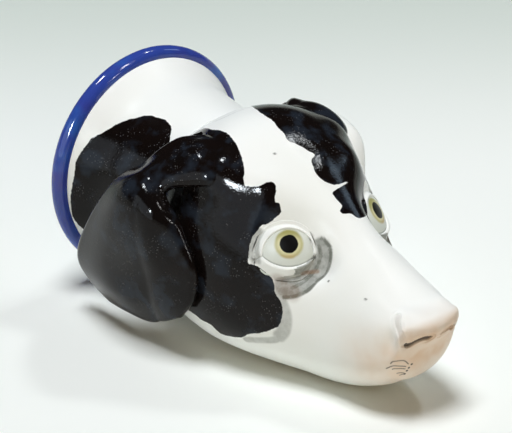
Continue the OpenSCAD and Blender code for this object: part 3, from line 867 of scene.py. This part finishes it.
def eye_point(tilt, turn, radius):
    """Points about the eye's axis, by tilt from it and by turn from the nose's side over the brow."""
    tilt, turn, radius = np.broadcast_arrays(tilt, turn, radius)
    across = np.cos(turn)[..., None] * eye_side + np.sin(turn)[..., None] * eye_up
    direction = np.cos(tilt)[..., None] * eye_axis + np.sin(tilt)[..., None] * across
    return eye_centre + direction * radius[..., None]


def search(low, high, keeps_low):
    """Halves an interval until it is short, by a test that tells which half to keep."""
    for _ in range(HALVINGS):
        middle = (low + high) / 2
        keep = keeps_low(middle)
        low = np.where(keep, low, middle)
        high = np.where(keep, middle, high)
    return (low + high) / 2


def eye_edge(turn):
    """Tilt at which the ball dips under the head."""
    return search(np.zeros_like(turn), np.full_like(turn, math.pi / 2),
                  lambda tilt: above_head(eye_point(tilt, turn, np.full_like(turn, EYE_R))) <= 0)


def head_distance(tilt, turn):
    """Distance of the head's surface from the ball's centre."""
    return search(np.zeros_like(tilt), np.full_like(tilt, 2 * EYE_R),
                  lambda radius: above_head(eye_point(tilt, turn, radius)) > 0)


def arc_radius(rise):
    """Radius of an arc between the eye's corners that rises by so much."""
    return ((EYE_OPEN_W / 2) ** 2 + rise ** 2) / (2 * rise)


def opening(turn):
    """Tilt of the edge of the opening between the lids, two arcs that meet at the eye's corners."""
    arch, sag = arc_radius(LID_ARCH), arc_radius(LID_SAG)
    reaches = []
    for radius, height in ((arch, LID_ARCH - arch - CORNER_DROP), (sag, sag - LID_SAG - CORNER_DROP)):
        reaches.append(height * np.sin(turn) + np.sqrt(radius ** 2 - (height * np.cos(turn)) ** 2))
    return np.arcsin(np.minimum(*reaches) / EYE_R)


def eyeball(name, node, material, mirrored):
    """The ball's front, a little past the edge of its socket."""
    turn = np.arange(EYE_SIDES) * 2 * math.pi / EYE_SIDES
    far = eye_edge(turn) + EYE_PAST
    share = np.linspace(0, 1, EYE_RINGS + 1)[1:, None]
    tilt = far[None] * share
    dome = eye_point(tilt, turn[None], np.full(tilt.shape, EYE_R)).reshape(-1, 3)
    points = np.concatenate([dome, eye_point(np.zeros(1), np.zeros(1), np.full(1, EYE_R)),
                             dome[-EYE_SIDES:].mean(0, keepdims=True)])
    count = len(dome)
    faces = [grid_faces(EYE_RINGS, EYE_SIDES, 0, True), fan_faces(count, np.arange(EYE_SIDES))[:, ::-1],
             fan_faces(count + 1, np.arange(count - EYE_SIDES, count))]
    offset = points - (eye_centre + eye_axis * EYE_R)
    from_pupil = np.linalg.norm(offset - (offset @ eye_axis)[:, None] * eye_axis, axis=1)
    # A soft dark line along the lower lid: painted shade of the gap between the ball and the lid
    gap = np.abs(tilt - opening(turn)[None]) * EYE_R
    low = 1 - ease(-0.45, -0.2, np.sin(turn)[None])
    ink_and_gap_shade = np.concatenate([(0.5 * (1 - ease(0.1, 0.5, gap)) * low).reshape(-1), [0, 0]])
    make_piece(name, node, material, points, faces,
               {"from_pupil": from_pupil, "eye_height": offset @ eye_up, "ink_and_gap_shade": ink_and_gap_shade}, mirrored)


def lid(name, node, material, mirrored, first, last, thickness):
    """One lid: a roll that is full at the opening's edge and thins out on to the head."""
    share = np.linspace(0, 1, LID_TURNS)
    turn = first + (last - first) * share
    far = eye_edge(turn) + LID_PAST / EYE_R
    near = np.minimum(opening(turn), far - LID_PAST / EYE_R)
    across = np.linspace(0, 1, LID_STEPS)
    tilt = near[:, None] + (far - near)[:, None] * across[None]
    turns = np.broadcast_to(turn[:, None], tilt.shape)
    bed = np.maximum(EYE_R, head_distance(tilt, turns))
    fullness = LID_THIN + (thickness - LID_THIN) * np.sqrt(np.sin(math.pi * share))
    profile = (1 - across) ** 2 * np.sqrt(np.minimum(1, across / 0.15 + 0.1)) - 0.1 * across
    roll = fullness[:, None] * profile[None]
    top = eye_point(tilt, turns, bed + roll)
    under = eye_point(tilt, turns, bed - LID_SINK)
    rings = np.concatenate([top, under[:, ::-1]], axis=1)
    sides = 2 * LID_STEPS
    count = LID_TURNS * sides
    faces = [grid_faces(LID_TURNS, sides, 0, True)[:, ::-1]]
    caps = [np.arange(sides)[None], np.arange(count - sides, count)[None, ::-1]]
    points = rings.reshape(-1, 3)
    paint = head_paint(points * ([1, -1, 1] if mirrored else [1, 1, 1]))
    make_piece(name, node, material, points, faces + caps, paint, mirrored)


# The stage: floor, lamps, surroundings and camera

AZIMUTH = math.radians(49.66)
ELEVATION = math.radians(26.04)
CAMERA_DISTANCE = 0.9
FOCAL_PIXELS = 3231.45
PICTURE_W = 512
SENSOR_W = 36.0
CLIP_NEAR = 0.05
CLIP_FAR = 50
AIM = Vector((-0.00717, -0.00384, 0.03586))
BACK = Vector((math.sin(AZIMUTH) * math.cos(ELEVATION), -math.cos(AZIMUTH) * math.cos(ELEVATION),
               math.sin(ELEVATION)))
FLOOR_HALF = 1.0
FLOOR_ROUGH = 0.9
FLOOR_FRONT = linear(249, 252, 247)
FLOOR_BACK = linear(212, 221, 212)
BACKDROP = linear(194, 198, 190)
FADE_START = 0.1
FADE_END = 0.29
WALL_TOP = 0.05
DARK_FROM = 0.13
OVERHEAD = (0.012, 0.012, 0.013, 1.0)

# Colours of the lamps
DAYLIGHT = (0.925, 0.955, 1.0)
AMBER = (1.0, 0.72, 0.4)
COOL_WHITE = (0.94, 0.98, 1.0)
ICE_BLUE = (0.86, 0.94, 1.0)
PALE_BLUE = (0.8, 0.9, 1.0)
FAINT_BLUE = (0.9, 0.96, 1.0)
WARM_WHITE = (1.0, 0.99, 0.97)
SKY_BLUE = (0.6, 0.8, 1.0)


def camera():
    """The camera at the photo's angle."""
    data = bpy.data.cameras.new("camera")
    data.sensor_width = SENSOR_W
    data.lens = FOCAL_PIXELS / PICTURE_W * SENSOR_W
    data.clip_start = CLIP_NEAR
    data.clip_end = CLIP_FAR
    eye = bpy.data.objects.new("camera", data)
    eye.location = AIM + BACK * CAMERA_DISTANCE
    eye.rotation_mode = "QUATERNION"
    eye.rotation_quaternion = (-BACK).to_track_quat("-Z", "Y")
    bpy.context.scene.collection.objects.link(eye)
    bpy.context.scene.camera = eye


def floor():
    """A pale sheet that darkens softly behind the object, a painted shade that stands in for the light
    falling off towards the back.
    """
    tree = Tree("floor paper")
    away = (-BACK.x / math.cos(ELEVATION), -BACK.y / math.cos(ELEVATION), 0)
    depth = tree.add("ShaderNodeVectorMath", {0: tree.place, 1: away}, operation="DOT_PRODUCT")
    shade = tree.range(depth.outputs["Value"], FADE_START, FADE_END)
    colour = tree.mix(shade, FLOOR_FRONT, FLOOR_BACK)
    tree.finish(Base_Color=colour, Roughness=FLOOR_ROUGH, Specular_IOR_Level=0.0)
    mesh = bpy.data.meshes.new("floor")
    corners = [(-FLOOR_HALF, -FLOOR_HALF, 0), (FLOOR_HALF, -FLOOR_HALF, 0),
               (FLOOR_HALF, FLOOR_HALF, 0), (-FLOOR_HALF, FLOOR_HALF, 0)]
    mesh.from_pydata(corners, [], [(0, 1, 2, 3)])
    mesh.materials.append(tree.material)
    sheet = bpy.data.objects.new("floor", mesh)
    bpy.context.scene.collection.objects.link(sheet)


def softbox(name, azimuth, elevation, distance, size, level, colour, lights=True, shines=True):
    """A lamp that faces the object. Its level is the share of white that it lights the floor to.

    It lights surfaces, shines as a reflection in the glaze, or does both."""
    a, e = math.radians(azimuth), math.radians(elevation)
    towards = Vector((math.sin(a) * math.cos(e), -math.cos(a) * math.cos(e), math.sin(e)))
    data = bpy.data.lights.new(name, "AREA")
    data.shape = "RECTANGLE"
    data.size, data.size_y = size
    data.energy = level * (math.pi * distance) ** 2 / towards.z
    data.color = colour
    lamp = bpy.data.objects.new(name, data)
    lamp.location = AIM + towards * distance
    lamp.rotation_mode = "QUATERNION"
    lamp.rotation_quaternion = (-towards).to_track_quat("-Z", "Y")
    lamp.visible_diffuse = lights
    lamp.visible_glossy = shines
    bpy.context.scene.collection.objects.link(lamp)


def surroundings():
    """A room with a pale wall at the level of the floor, dark overhead."""
    world = bpy.data.worlds.new("studio")
    bpy.context.scene.world = world
    world.use_nodes = True
    nodes, links = world.node_tree.nodes, world.node_tree.links
    place = nodes.new("ShaderNodeTexCoord")
    parts = nodes.new("ShaderNodeSeparateXYZ")
    ramp = nodes.new("ShaderNodeValToRGB")
    links.new(place.outputs["Generated"], parts.inputs[0])
    links.new(parts.outputs["Z"], ramp.inputs["Fac"])
    links.new(ramp.outputs["Color"], nodes["Background"].inputs["Color"])
    low, high = ramp.color_ramp.elements
    low.color = BACKDROP
    high.position, high.color = DARK_FROM, OVERHEAD
    ramp.color_ramp.elements.new(WALL_TOP).color = BACKDROP


def lamps():
    """Three lamps that light the cup, and six that only shine in its glaze."""
    softbox("top lamp", 14, 79, 2.0, (0.7, 0.7), 0.86, DAYLIGHT, shines=False)
    softbox("side lamp", 62, 22, 2.0, (1.2, 0.8), 0.055, AMBER, shines=False)
    softbox("back lamp", -179, 57, 2.0, (0.3, 0.2), 0.13, COOL_WHITE)
    softbox("dome glint", 17, 28, 0.9, (0.09, 0.12), 0.3, ICE_BLUE, lights=False)
    softbox("dome glow", -5, 18, 0.9, (1.1, 0.5), 0.1, PALE_BLUE, lights=False)
    softbox("shoulder glint", -60, 65, 1.0, (0.1, 0.1), 0.26, FAINT_BLUE, lights=False)
    softbox("rim glint", 113, 51, 0.9, (0.1, 0.25), 0.15, WARM_WHITE, lights=False)
    softbox("low rim glint", 103, 24, 0.9, (0.05, 0.12), 0.03, WARM_WHITE, lights=False)
    softbox("far sheen", 171, 34, 1.0, (0.15, 0.24), 0.022, SKY_BLUE, lights=False)


def main():
    camera()
    floor()
    surroundings()
    lamps()
    porcelain = painted_porcelain()
    head(porcelain)
    collar(porcelain)
    rim(blue_glaze())
    ear("glazed_right_ear", "right_ear", porcelain, True, None)
    ear("glazed_left_ear", "left_ear", porcelain, False, LEFT_ROOT_BLACK)
    eye = painted_eye()
    for side, mirrored in (("right", True), ("left", False)):
        eyeball(f"painted_{side}_eye", f"{side}_eyeball", eye, mirrored)
        upper, lower = f"{side}_upper_lid", f"{side}_lower_lid"
        outer, inner = math.pi + CORNER_TURN, 2 * math.pi - CORNER_TURN
        lid(f"glazed_{upper}", upper, porcelain, mirrored, -CORNER_TURN, outer, UPPER_LID_T)
        lid(f"glazed_{lower}", lower, porcelain, mirrored, outer, inner, LOWER_LID_T)
    bpy.context.scene.view_settings.view_transform = "Standard"


main()
bpy.context.view_layer.update()
